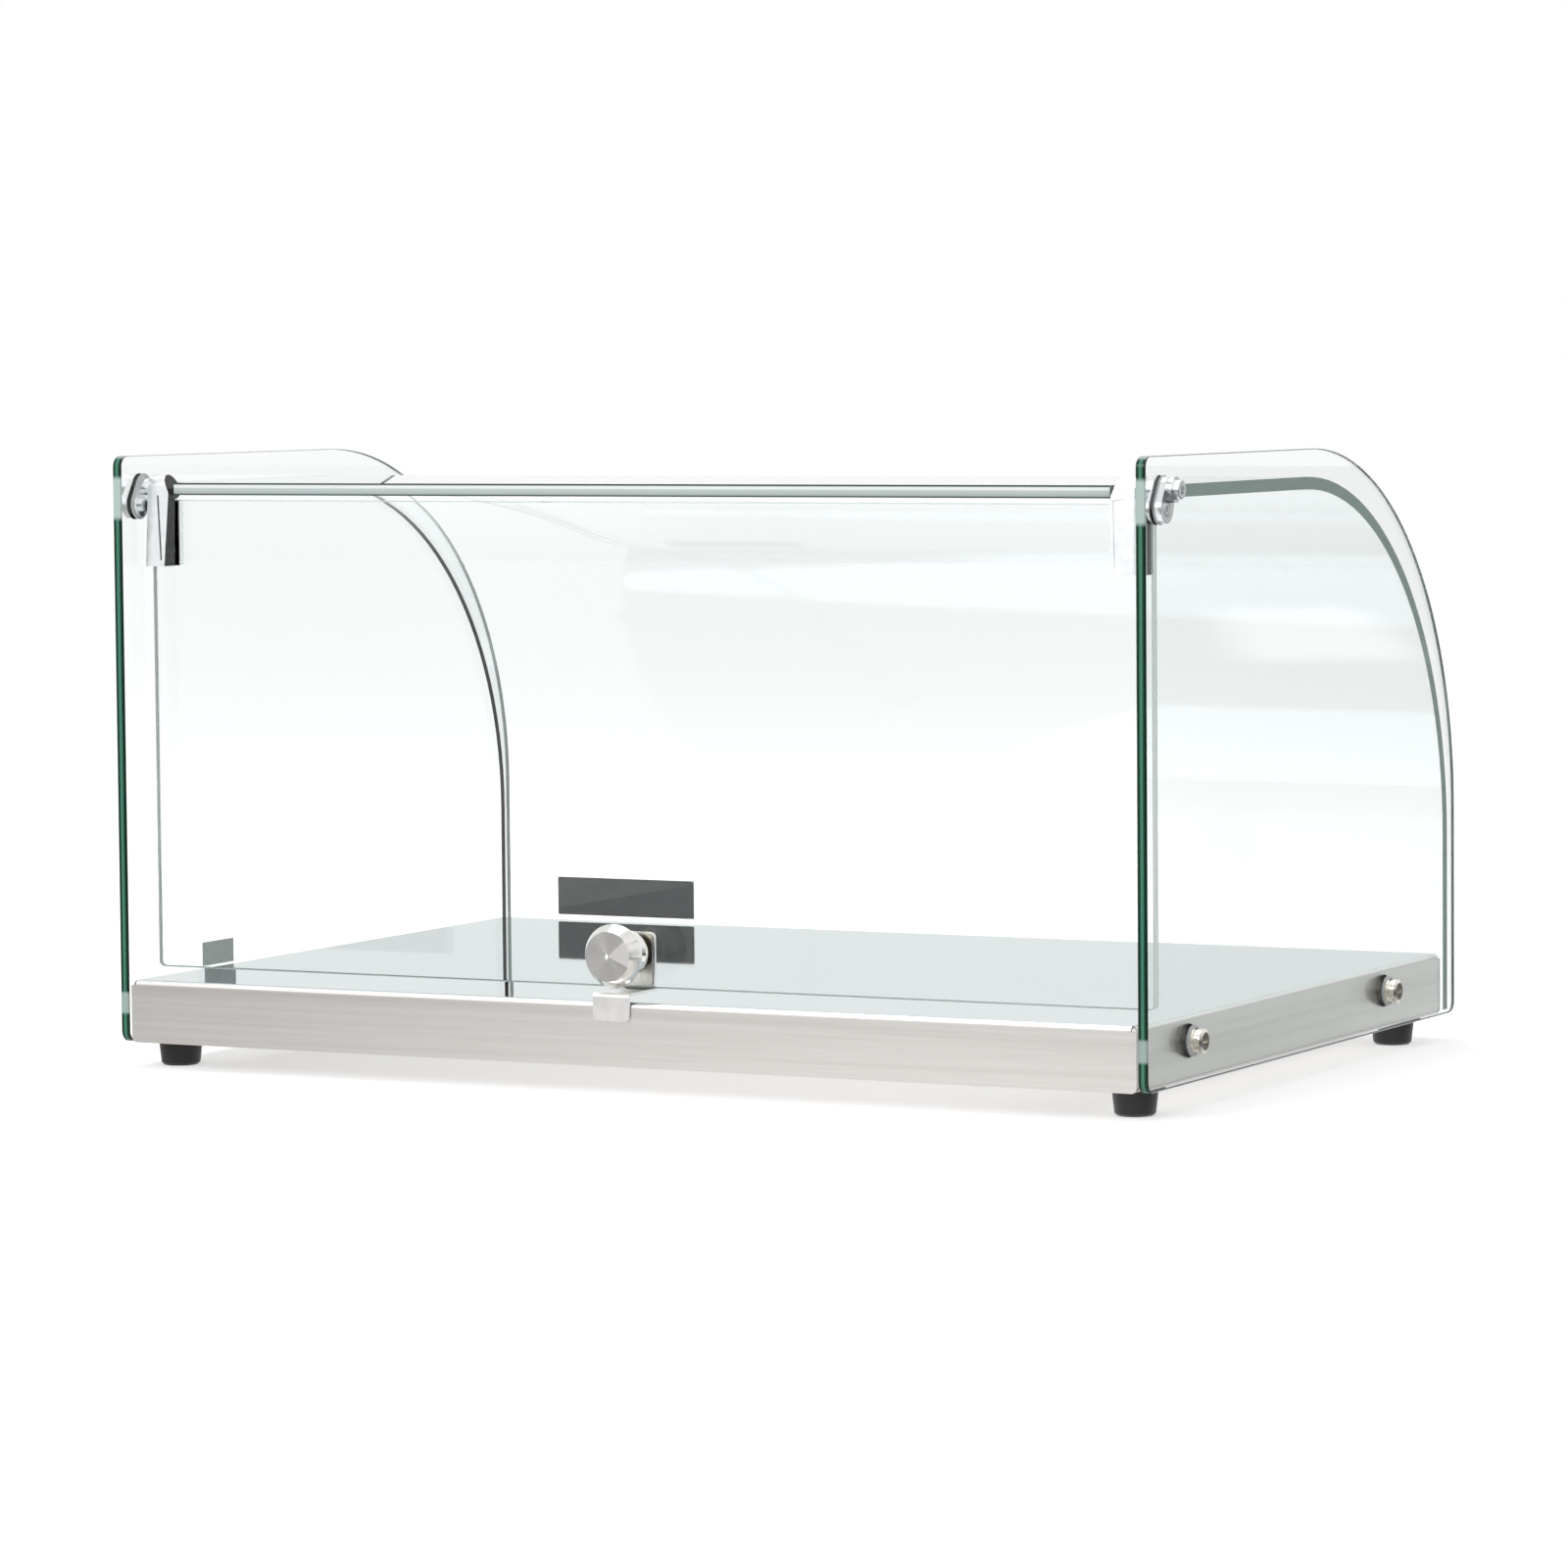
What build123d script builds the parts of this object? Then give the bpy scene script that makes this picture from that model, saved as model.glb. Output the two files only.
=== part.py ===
from build123d import *
import os

# Countertop display case. Millimetres, +Z up, +X along the width, the operator's door at -Y.
# The origin lies on the surface that the feet stand on, under the middle of the whole case.

# Overall case, taken over the two side glasses
case_width = 556.0
case_depth = 384.0
side_height = 290.0
foot_height = 13.0

# Side glasses
side_glass_thickness = 5.0
side_glass_curve = 185.0
side_glass_corner = 5.5
glass_arris = 0.5

# Curved top and front glass, bonded between the side glasses
curved_glass_thickness = 6.0
curved_glass_radius = 185.0
curved_glass_below_top = 13.5
curved_glass_behind_front = 6.0
curved_glass_behind_pivot = 3.5
curved_glass_foot_gap = 2.0
hinge_notch_gap = 1.5

# Folded steel base
sheet = 1.2
base_height = 31.0
base_side_gap = 1.0
base_rear_setback = 0.5
base_bend = 2.6
corner_seam = 0.25
foot_flange = 28.0
front_tape_thickness = 1.6
front_tape_height = 18.0
front_tape_end_gap = 4.0

# Screws that hold the side glasses to the base
side_screw_radius = 3.0
side_screw_height = 19.5
side_screw_from_rear = 51.0
side_screw_from_front = 92.0
side_head_radius = 5.9
side_head_height = 3.3
bush_flange_radius = 7.2
bush_flange = 1.0
bush_wall = 1.2
flat_washer_radius = 6.2
flat_washer_thickness = 1.0
spring_washer_radius = 5.4
spring_washer_thickness = 1.2
spring_washer_split = 1.0
side_spacer_radius = 8.0
clinch_nut_across_flats = 10.0
clinch_nut_height = 4.0

# Feet
foot_top_radius = 11.0
foot_bottom_radius = 9.5
foot_chamfer = 1.2
foot_inset = 12.0
foot_from_rear = 26.0
foot_from_front = 40.0
foot_screw_radius = 2.0
foot_head_radius = 4.0
foot_head_height = 2.6
foot_recess_radius = 5.0
foot_recess_depth = 7.0
foot_washer_radius = 4.6
foot_washer_thickness = 0.8
foot_nut_across_flats = 7.0
foot_nut_height = 3.2

# Door glass
door_glass_thickness = 5.0
door_setback = 21.0
door_side_gap = 4.0
door_above_deck = 5.0
door_corner = 3.0
door_drop_below_pivot = 6.5

# Hinges
pivot_behind_door_face = 1.0
pivot_below_top = 15.5
mount_below_pivot = 8.5
mount_behind_pivot = 4.0
pivot_pin_radius = 2.5
pivot_head_radius = 4.45
pivot_head_height = 3.0
pivot_socket_across_flats = 4.0
pivot_socket_depth = 2.2
pivot_boss_radius = 6.0
pivot_boss_length = 6.0
hinge_disc_radius = 6.9
hinge_plate = 3.2
hinge_inner_plate = 1.5
hinge_inner_boss_radius = 4.2
hinge_inner_disc_radius = 6.2
mount_nut_radius = 3.6
mount_nut_height = 1.6
hinge_gasket = 0.5
hinge_gasket_rim = 0.6
hinge_slot_width = 9.0
hinge_sleeve_gap = 0.15
mount_screw_radius = 2.0
mount_head_radius = 3.4
mount_head_height = 2.2
mount_pocket_radius = 3.7
mount_socket_across_flats = 2.5
mount_socket_depth = 1.3
hinge_side_play = 0.5

# Door clamps
clamp_from_glass = 6.5
clamp_width = 12.0
clamp_head_radius = 6.0
clamp_head_width = 8.0
clamp_drop = 39.0
clamp_slant = 2.8
clamp_taper = 1.2
clamp_facet_depth = 0.7
clamp_edge = 0.5
clamp_pad = 1.0
clamp_jaw = 3.6
clamp_jaw_corner = 2.0
clamp_screw_radius = 2.0
clamp_screw_head_radius = 3.2
clamp_screw_head_height = 1.4
clamp_screw_drops = (14.5, 31.5)
clamp_screw_length_in_jaw = 4.0
clamp_screw_glass_hole = 3.2

# Door clip, a bent strip that carries the knob and stops the door
clip_sheet = 1.3
clip_width = 19.6
clip_bend = 1.6
clip_plate_above_edge = 26.5
clip_shelf_gap = 0.4
clip_tab_below_edge = 14.0
clip_corner = 2.6
clip_pad_thickness = 0.8
clip_pad_inset = 1.0
stop_gap = 0.3

# Knob, turned, with a collar and a screw from inside
knob_above_edge = 17.0
knob_length = 25.0
knob_radius = 15.1
knob_face_radius = 11.9
knob_rim = 5.5
knob_rim_land = 1.4
knob_waist_radius = 8.2
knob_ring_radius = 11.0
knob_ring_from_face = 19.0
knob_ring_width = 2.0
knob_neck_radius = 6.2
knob_neck_taper = 1.2
knob_waist_length = 5.0
knob_dish = 0.4
knob_collar_length = 3.6
knob_collar_radius = 8.4
knob_collar_groove = 0.9
knob_screw_radius = 2.0
knob_screw_head_radius = 4.2
knob_screw_head_height = 2.3
knob_screw_length_in_knob = 10.0
knob_glass_hole = 4.0

# Clearance of a screw in its thread or hole, and of the hinge pin in its barrel
thread_gap = 0.05
pin_gap = 0.06
hole_gap = 0.25

# Places worked out from the sizes above
knob_overhang = knob_length - door_setback
rear_edge = (knob_overhang - case_depth) / 2
front_edge = rear_edge + case_depth
glass_floor = foot_height
glass_top = glass_floor + side_height
outer_face = case_width / 2
inner_face = outer_face - side_glass_thickness

base_half_width = inner_face - base_side_gap
base_rear = rear_edge + base_rear_setback
curved_front = front_edge - curved_glass_behind_front
curved_top = glass_top - curved_glass_below_top
base_front = curved_front - curved_glass_thickness - front_tape_thickness
deck_top = glass_floor + base_height

screw_height = glass_floor + side_screw_height
screw_rows = (rear_edge + side_screw_from_rear, front_edge - side_screw_from_front)
foot_rows = (rear_edge + foot_from_rear, front_edge - foot_from_front)
foot_column = base_half_width - foot_inset

door_outer = rear_edge + door_setback
pivot_y = door_outer - pivot_behind_door_face
pivot_z = glass_top - pivot_below_top
mount_y = pivot_y - mount_behind_pivot
mount_z = pivot_z - mount_below_pivot
curved_rear = pivot_y - curved_glass_behind_pivot
door_inner = door_outer + door_glass_thickness
door_half_width = inner_face - door_side_gap
door_bottom = deck_top + door_above_deck
door_top = pivot_z - door_drop_below_pivot

clamp_outer_x = inner_face - clamp_from_glass
clamp_inner_x = clamp_outer_x - clamp_width
clamp_bottom = pivot_z - clamp_drop
clamp_middle_x = (clamp_outer_x + clamp_inner_x + clamp_taper / 2) / 2
clip_plate_top = door_bottom + clip_plate_above_edge
clip_tab_bottom = door_bottom - clip_tab_below_edge
knob_z = door_bottom + knob_above_edge


def across(sketch, low, high):
    """A shape drawn in y and z, carried along x from low to high."""
    return extrude(Plane.YZ.offset(low) * sketch, amount=high - low)


def lengthwise(sketch, low, high):
    """A shape drawn in x and z, carried along y from low to high."""
    return extrude(Plane.XZ.offset(-high) * sketch, amount=high - low)


def upright(sketch, low, high):
    """A shape drawn in x and y, carried along z from low to high."""
    return extrude(Plane.XY.offset(low) * sketch, amount=high - low)


def block(first_low, first_high, second_low, second_high):
    """A rectangle given by its limits."""
    middle = ((first_low + first_high) / 2, (second_low + second_high) / 2)
    return Pos(*middle) * Rectangle(first_high - first_low, second_high - second_low)


def placed(piece, point, direction):
    """Stand a piece made along +z on a point, along a direction."""
    return Plane(origin=point, z_dir=direction).location * piece


def turned(*outline):
    """Revolve a closed outline of (radius, height) points about z."""
    return revolve(Plane.XZ * make_face(Polyline(*outline, close=True)), Axis.Z)


def ring(outer, inner, height):
    """A flat washer or sleeve."""
    return extrude(Circle(outer) - Circle(inner), amount=height)


def soft_edge(glass, size):
    """The ground arris along both faces of a sheet of glass."""
    return chamfer(glass.edges().filter_by(lambda edge: not edge.is_closed), size)


def mirrored(piece):
    """The same piece on the left side."""
    return mirror(piece, about=Plane.YZ)


def both_sides(pieces):
    """The given solids and their mirror copies, as one group."""
    return Compound(children=[*pieces, *[mirrored(piece) for piece in pieces]])


def hinge_outline(top_radius, disc_radius):
    """Two discs, one about the pivot and one about the mount screw, with straight flanks."""
    eye = Pos(pivot_y, pivot_z) * Circle(top_radius)
    disc = Pos(mount_y, mount_z) * Circle(disc_radius)
    return make_hull([*eye.edges(), *disc.edges()])


def hinge_slot(width):
    """The slanting hole in the side glass that both hinge screws go through."""
    return hinge_outline(width / 2, width / 2)


def pivot_hole(radius):
    return Pos(pivot_y, pivot_z) * Circle(radius)


def mount_hole(radius):
    return Pos(mount_y, mount_z) * Circle(radius)


def side_glass():
    """Right side glass: flat sheet with one large front arc, screw holes and the hinge slot."""
    outline = block(rear_edge, front_edge, glass_floor, glass_top)
    tall_corner = outline.vertices().sort_by(lambda v: v.X + v.Y)[-1]
    other_corners = [v for v in outline.vertices() if v != tall_corner]
    outline = fillet(other_corners, side_glass_corner)
    arc_corner = outline.vertices().sort_by(lambda v: v.X + v.Y)[-1]
    outline = fillet(arc_corner, side_glass_curve)
    glass = soft_edge(across(outline, inner_face, outer_face), glass_arris)
    holes = [Pos(y, screw_height) * Circle(side_screw_radius + bush_wall + hole_gap) for y in screw_rows]
    for hole in [*holes, hinge_slot(hinge_slot_width)]:
        glass -= across(hole, inner_face, outer_face)
    return glass


def curved_glass():
    """Top and front in one bent sheet, notched at its rear corners for the hinge heads."""
    outer = block(curved_rear, curved_front, glass_floor + curved_glass_foot_gap, curved_top)
    outer = fillet(outer.vertices().sort_by(lambda v: v.X + v.Y)[-1], curved_glass_radius)
    wall = curved_glass_thickness
    inner = block(curved_rear - wall, curved_front - wall, glass_floor - wall, curved_top - wall)
    inner_corner = inner.vertices().sort_by(lambda v: v.X + v.Y)[-1]
    inner = fillet(inner_corner, curved_glass_radius - wall)
    glass = across(outer - inner, -inner_face, inner_face)
    notch_inner = clamp_inner_x - hinge_notch_gap
    notch_front = pivot_y + clamp_head_radius + hinge_notch_gap
    notch = upright(block(notch_inner, inner_face, curved_rear, notch_front), curved_top - 2 * wall, curved_top)
    return glass - notch - mirrored(notch)


def base_tray():
    """Folded tray, open below: deck, four skirts with relieved corners, and foot flanges."""
    side_ends = (base_rear + base_bend, base_front - base_bend)
    skirt_top = deck_top - base_bend
    outer = block(-base_half_width, base_half_width, glass_floor, deck_top)
    outer = fillet(outer.vertices(), base_bend)
    inner_half = base_half_width - sheet
    inner = block(-inner_half, inner_half, glass_floor + sheet, deck_top - sheet)
    inner = fillet(inner.vertices(), base_bend - sheet)
    mouth_half = base_half_width - foot_flange
    mouth = block(-mouth_half, mouth_half, glass_floor, glass_floor + sheet)
    tray = lengthwise(outer - inner - mouth, *side_ends)

    hood = block(base_rear, base_front, glass_floor, deck_top)
    hood = fillet(hood.vertices().group_by(Axis.Y)[-1], base_bend)
    hollow = block(base_rear + sheet, base_front - sheet, glass_floor, deck_top - sheet)
    hollow = fillet(hollow.vertices().group_by(Axis.Y)[-1], base_bend - sheet)
    tray += across(hood - hollow, base_bend - base_half_width, base_half_width - base_bend)

    end_skirt = block(-base_half_width, base_half_width, glass_floor, skirt_top)
    end_skirt = fillet(end_skirt.vertices().group_by(Axis.Y)[0], base_bend)
    for near, far in ((base_rear, base_rear + sheet), (base_front - sheet, base_front)):
        tray += lengthwise(end_skirt, near, far)
    side_skirt = block(
        base_rear + sheet + corner_seam,
        base_front - sheet - corner_seam,
        glass_floor + base_bend,
        skirt_top,
    )
    for side in (-1, 1):
        faces = sorted((side * base_half_width, side * inner_half))
        tray += across(side_skirt, *faces)
        for y in screw_rows:
            hole = Pos(y, screw_height) * Circle(side_screw_radius + hole_gap)
            tray -= across(hole, *faces)
        for y in foot_rows:
            hole = Pos(side * foot_column, y) * Circle(foot_screw_radius + hole_gap)
            tray -= upright(hole, glass_floor, glass_floor + sheet)
    return tray


def front_tape():
    """Foam tape between the front skirt and the foot of the curved glass."""
    half = inner_face - front_tape_end_gap
    low = glass_floor + curved_glass_foot_gap
    strip = block(-half, half, low, low + front_tape_height)
    return lengthwise(strip, base_front, base_front + front_tape_thickness)


def door_glass():
    """Flat lifting door with holes for the clamp screws and the knob screw."""
    outline = fillet(
        block(-door_half_width, door_half_width, door_bottom, door_top).vertices(), door_corner
    )
    glass = soft_edge(lengthwise(outline, door_outer, door_inner), glass_arris)
    for side in (-1, 1):
        for drop in clamp_screw_drops:
            hole = Pos(side * clamp_middle_x, pivot_z - drop) * Circle(clamp_screw_glass_hole)
            glass -= lengthwise(hole, door_outer, door_inner)
    return glass - lengthwise(Pos(0, knob_z) * Circle(knob_glass_hole), door_outer, door_inner)


def side_bush():
    """Clear flanged bush: its sleeve keeps the screw off the glass."""
    bore = side_screw_radius + hole_gap
    flange = ring(bush_flange_radius, bore, bush_flange)
    sleeve = Pos(0, 0, -side_glass_thickness) * ring(side_screw_radius + bush_wall, bore, side_glass_thickness)
    return flange + sleeve


def spring_washer():
    washer = ring(spring_washer_radius, side_screw_radius + hole_gap, spring_washer_thickness)
    split = Pos(spring_washer_radius, 0) * Rectangle(2 * spring_washer_radius, spring_washer_split)
    return washer - extrude(split, amount=spring_washer_thickness)


def cross_recess(width, depth):
    """The crossed slot of a screw head, opening upwards at height zero."""
    slot = Rectangle(width, width / 4) + Rectangle(width / 4, width)
    return extrude(Pos(0, 0, -depth) * slot, amount=depth)


def pan_screw(shank, length, head_radius, head_height):
    """Screw along z: the head stands above zero and the shank hangs below."""
    crown = head_height / 2
    head = extrude(Circle(head_radius), amount=head_height)
    head = chamfer(head.edges().group_by(Axis.Z)[-1], crown / 2, crown)
    body = head + Pos(0, 0, -length) * extrude(Circle(shank), amount=length)
    return body - Pos(0, 0, head_height) * cross_recess(head_radius, head_height / 2)


def socket_screw(shank, length, head_radius, head_height, socket, depth):
    """Cap screw along z with a hexagon socket."""
    head = chamfer(extrude(Circle(head_radius), amount=head_height).edges().group_by(Axis.Z)[-1], 0.3)
    body = head + Pos(0, 0, -length) * extrude(Circle(shank), amount=length)
    hexagon = RegularPolygon(socket / 2, 6, major_radius=False)
    return body - Pos(0, 0, head_height - depth) * extrude(hexagon, amount=depth)


def hexagon_nut(across_flats, hole, height):
    return extrude(RegularPolygon(across_flats / 2, 6, major_radius=False) - Circle(hole), amount=height)


def side_fixings():
    """Every piece of the four side screws, stacked outwards from the glass."""
    nodes = {
        "side_bushes": (side_bush(), outer_face),
        "side_flat_washers": (
            ring(flat_washer_radius, side_screw_radius + hole_gap, flat_washer_thickness),
            outer_face + bush_flange,
        ),
        "side_spring_washers": (spring_washer(), outer_face + bush_flange + flat_washer_thickness),
        "side_spacers": (
            ring(side_spacer_radius, side_screw_radius + hole_gap, base_side_gap),
            base_half_width,
        ),
    }
    head_seat = outer_face + bush_flange + flat_washer_thickness + spring_washer_thickness
    nut_end = base_half_width - sheet - clinch_nut_height
    screw = pan_screw(side_screw_radius, head_seat - nut_end + 2, side_head_radius, side_head_height)
    nut = hexagon_nut(clinch_nut_across_flats, side_screw_radius + thread_gap, clinch_nut_height)
    nodes["side_screws"] = (screw, head_seat)
    nodes["side_nuts"] = (nut, nut_end)
    return {
        name: both_sides([placed(piece, (x, y, screw_height), (1, 0, 0)) for y in screw_rows])
        for name, (piece, x) in nodes.items()
    }


def foot():
    """Moulded rubber foot, recessed below for its screw."""
    body = turned(
        (foot_screw_radius + hole_gap, foot_recess_depth),
        (foot_recess_radius, foot_recess_depth),
        (foot_recess_radius, 0),
        (foot_bottom_radius, 0),
        (foot_top_radius, foot_height),
        (foot_screw_radius + hole_gap, foot_height),
    )
    rim = body.edges().filter_by(GeomType.CIRCLE).group_by(Axis.Z)[0].sort_by(SortBy.RADIUS)[-1]
    return chamfer(rim, foot_chamfer)


def foot_fixings():
    """Screw, washer and nut of each foot."""
    grip = foot_height - foot_recess_depth + sheet + foot_washer_thickness
    screw = pan_screw(foot_screw_radius, grip + foot_nut_height + 2, foot_head_radius, foot_head_height)
    washer = ring(foot_washer_radius, foot_screw_radius + hole_gap, foot_washer_thickness)
    nut = hexagon_nut(foot_nut_across_flats, foot_screw_radius + thread_gap, foot_nut_height)
    seat = foot_recess_depth - foot_washer_thickness
    nodes = {
        "foot_screws": (screw, seat, -1),
        "foot_washers": (washer, seat, 1),
        "foot_nuts": (nut, glass_floor + sheet, 1),
    }
    return {
        name: both_sides([placed(piece, (foot_column, y, z), (0, 0, up)) for y in foot_rows])
        for name, (piece, z, up) in nodes.items()
    }


def hinge_fixed_side():
    """The right hinge's fixed pieces, clamped through the slot in the side glass."""
    plate_low = outer_face + hinge_gasket
    boss_end = plate_low + pivot_boss_length
    outline = hinge_outline(pivot_boss_radius, hinge_disc_radius)
    outer_plate = across(outline, plate_low, plate_low + hinge_plate)
    outer_plate += across(pivot_hole(pivot_boss_radius), plate_low, boss_end)
    pocket_floor = plate_low + hinge_plate - mount_head_height
    outer_plate -= across(pivot_hole(pivot_pin_radius + thread_gap), plate_low, boss_end)
    outer_plate -= across(mount_hole(mount_screw_radius + hole_gap), plate_low, pocket_floor)
    outer_plate -= across(mount_hole(mount_pocket_radius), pocket_floor, plate_low + hinge_plate)

    inner_high = inner_face - hinge_gasket
    inner_low = inner_high - hinge_inner_plate
    boss_low = clamp_outer_x + hinge_side_play
    nut_low = inner_low - mount_nut_height
    inner_outline = hinge_outline(hinge_inner_boss_radius, hinge_inner_disc_radius)
    inner_plate = across(inner_outline, inner_low, inner_high)
    inner_plate += across(pivot_hole(hinge_inner_boss_radius), boss_low, inner_low)
    inner_plate += across(mount_hole(mount_nut_radius), nut_low, inner_low)
    inner_plate -= across(pivot_hole(pivot_pin_radius + thread_gap), boss_low, inner_high)
    inner_plate -= across(mount_hole(mount_screw_radius + thread_gap), nut_low, inner_high)

    sleeve = hinge_slot(hinge_slot_width - 2 * hinge_sleeve_gap)
    sleeve -= pivot_hole(pivot_pin_radius + hole_gap) + mount_hole(mount_screw_radius + hole_gap)
    gasket = hinge_outline(pivot_boss_radius + hinge_gasket_rim, hinge_disc_radius + hinge_gasket_rim)
    gasket -= hinge_outline(pivot_pin_radius + hole_gap, mount_screw_radius + hole_gap)
    gaskets = Compound(children=[
        across(gasket, outer_face, plate_low),
        across(gasket, inner_high, inner_face),
    ])

    pin_end = clamp_outer_x - clamp_head_width + 1
    pivot_screw = socket_screw(
        pivot_pin_radius, boss_end - pin_end, pivot_head_radius, pivot_head_height,
        pivot_socket_across_flats, pivot_socket_depth,
    )
    mount_screw = socket_screw(
        mount_screw_radius, pocket_floor - nut_low, mount_head_radius,
        mount_head_height, mount_socket_across_flats, mount_socket_depth,
    )
    return {
        "hinge_outer_plate": outer_plate,
        "hinge_inner_plate": inner_plate,
        "hinge_sleeve": across(sleeve, inner_face, outer_face),
        "hinge_gaskets": gaskets,
        "pivot_screw": placed(pivot_screw, (boss_end, pivot_y, pivot_z), (1, 0, 0)),
        "mount_screw": placed(mount_screw, (pocket_floor, mount_y, mount_z), (1, 0, 0)),
    }


def clamp_side_profile():
    """Head about the pivot and an outer jaw that thickens downwards, in y and z."""
    front = pivot_y - clamp_head_radius
    back = door_outer - clamp_pad
    jaw = make_face(Polyline(
        (front, pivot_z),
        (front - clamp_slant, clamp_bottom),
        (back, clamp_bottom),
        (back, pivot_z),
        close=True,
    ))
    return jaw + Pos(pivot_y, pivot_z) * Circle(clamp_head_radius)


def clamp_front_profile():
    """The clamp seen from the operator's side: sloping shoulder and tapering inner edge, in x and z."""
    top = pivot_z + clamp_head_radius
    return make_face(Polyline(
        (clamp_outer_x, top),
        (clamp_outer_x, clamp_bottom),
        (clamp_inner_x + clamp_taper, clamp_bottom),
        (clamp_inner_x, pivot_z - clamp_head_radius / 2),
        (clamp_outer_x - clamp_head_width, top),
        close=True,
    ))


def clamp_facet():
    """Shallow tapering recess down the clamp's outer face."""
    front = pivot_y - clamp_head_radius
    depth = clamp_facet_depth
    skin = make_face(Polyline(
        (front - 2, pivot_z),
        (front - clamp_slant - 2, clamp_bottom),
        (front - clamp_slant + depth, clamp_bottom),
        (front + depth, pivot_z),
        close=True,
    ))
    middle = clamp_outer_x - clamp_width * 0.45
    face = make_face(Polyline(
        (middle, pivot_z - 4),
        (middle - clamp_width / 4, clamp_bottom + 3),
        (clamp_inner_x + clamp_taper + 1.4, clamp_bottom + 3),
        (clamp_inner_x + 1.0, pivot_z - 5),
        close=True,
    ))
    return across(skin, clamp_inner_x, clamp_outer_x) & lengthwise(face, front - 10, door_outer)


def door_clamp_pieces():
    """The right clamp that grips the door glass and turns on the pivot screw."""
    body = across(clamp_side_profile(), clamp_inner_x, clamp_outer_x)
    body &= lengthwise(clamp_front_profile(), pivot_y - 20, pivot_y + 20)
    body -= clamp_facet()
    barrel = clamp_outer_x - clamp_head_width
    body -= across(pivot_hole(pivot_pin_radius + pin_gap), barrel, clamp_outer_x)
    jaw_face = door_outer - clamp_pad
    inner_seat = door_inner + clamp_pad
    drops = [pivot_z - drop for drop in clamp_screw_drops]

    low_x, high_x = clamp_inner_x + clamp_taper, clamp_outer_x
    jaw_outline = block(low_x, high_x, clamp_bottom, door_top)
    pad_outline = block(low_x, high_x, clamp_bottom, door_top)
    jaw_outline = fillet(jaw_outline.vertices(), clamp_jaw_corner)
    jaw = lengthwise(jaw_outline, inner_seat, inner_seat + clamp_jaw)
    pads = [
        lengthwise(pad_outline, jaw_face, door_outer),
        lengthwise(pad_outline, door_inner, inner_seat),
    ]
    screws = []
    head_seat = inner_seat + clamp_jaw
    blind_end = jaw_face - clamp_screw_length_in_jaw
    for z in drops:
        centre = Pos(clamp_middle_x, z)
        body -= lengthwise(centre * Circle(clamp_screw_radius + thread_gap), blind_end, jaw_face)
        through = lengthwise(centre * Circle(clamp_screw_radius + hole_gap), jaw_face, head_seat)
        jaw -= through
        pads = [pad - through for pad in pads]
        screw = pan_screw(
            clamp_screw_radius, head_seat - blind_end - thread_gap,
            clamp_screw_head_radius, clamp_screw_head_height,
        )
        screws.append(placed(screw, (clamp_middle_x, head_seat, z), (0, 1, 0)))
    return {
        "door_clamp": body,
        "clamp_jaw": jaw,
        "clamp_pads": Compound(children=pads),
        "clamp_screws": Compound(children=screws),
    }


def door_clip():
    """One bent strip: plate inside the glass, shelf under its edge, stop tab outside the base."""
    half = clip_sheet / 2
    plate_y = door_inner + clip_pad_thickness + half
    shelf_z = door_bottom - clip_shelf_gap - half
    tab_y = base_rear - stop_gap - half
    bend_line = FilletPolyline(
        (plate_y, clip_plate_top),
        (plate_y, shelf_z),
        (tab_y, shelf_z),
        (tab_y, clip_tab_bottom),
        radius=clip_bend,
    )
    strip = across(trace(bend_line, line_width=clip_sheet), -clip_width / 2, clip_width / 2)
    free_ends = strip.edges().filter_by(Axis.Y).group_by(Axis.Z)
    strip = fillet(free_ends[0] + free_ends[-1], clip_corner)
    hole = Pos(0, knob_z) * Circle(knob_screw_radius + hole_gap)
    return strip - lengthwise(hole, door_inner, door_inner + clip_pad_thickness + clip_sheet)


def clip_pad():
    """Rubber pad between the clip's plate and the glass."""
    half = clip_width / 2 - clip_pad_inset
    outline = block(-half, half, door_bottom + clip_pad_inset, clip_plate_top - clip_pad_inset)
    outline = fillet(outline.vertices(), clip_corner - clip_pad_inset)
    outline -= Pos(0, knob_z) * Circle(knob_screw_radius + hole_gap)
    return lengthwise(outline, door_inner, door_inner + clip_pad_thickness)


def knob():
    """Turned knob: dished face, rim, hollow waist and a ring above the neck."""
    bore = knob_screw_radius + thread_gap
    bore_end = knob_collar_length + knob_screw_length_in_knob + thread_gap
    rim_back = knob_length - knob_rim - knob_rim_land
    ring_top = knob_length - knob_ring_from_face + knob_ring_width / 2
    ring_low = ring_top - knob_ring_width
    waist_low = (rim_back + ring_top - knob_waist_length) / 2
    knob_body = turned(
        (knob_ring_radius, ring_top),
        (knob_ring_radius, ring_low),
        (knob_neck_radius, ring_low - knob_neck_taper),
        (knob_neck_radius, knob_collar_length),
        (bore, knob_collar_length),
        (bore, bore_end),
        (0, bore_end),
        (0, knob_length - knob_dish),
        (knob_face_radius, knob_length),
        (knob_radius, knob_length - knob_rim),
        (knob_radius, rim_back),
        (knob_waist_radius, waist_low + knob_waist_length),
        (knob_waist_radius, waist_low),
    )
    return placed(knob_body, (0, door_outer, knob_z), (0, -1, 0))


def knob_collar():
    """Grooved collar between the knob and the glass."""
    bore = knob_screw_radius + thread_gap
    middle = knob_collar_length / 2
    groove = knob_collar_groove
    collar = turned(
        (bore, 0),
        (knob_collar_radius, 0),
        (knob_collar_radius, middle - groove),
        (knob_collar_radius - groove, middle),
        (knob_collar_radius, middle + groove),
        (knob_collar_radius - groove, knob_collar_length),
        (bore, knob_collar_length),
    )
    return placed(collar, (0, door_outer, knob_z), (0, -1, 0))


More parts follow.
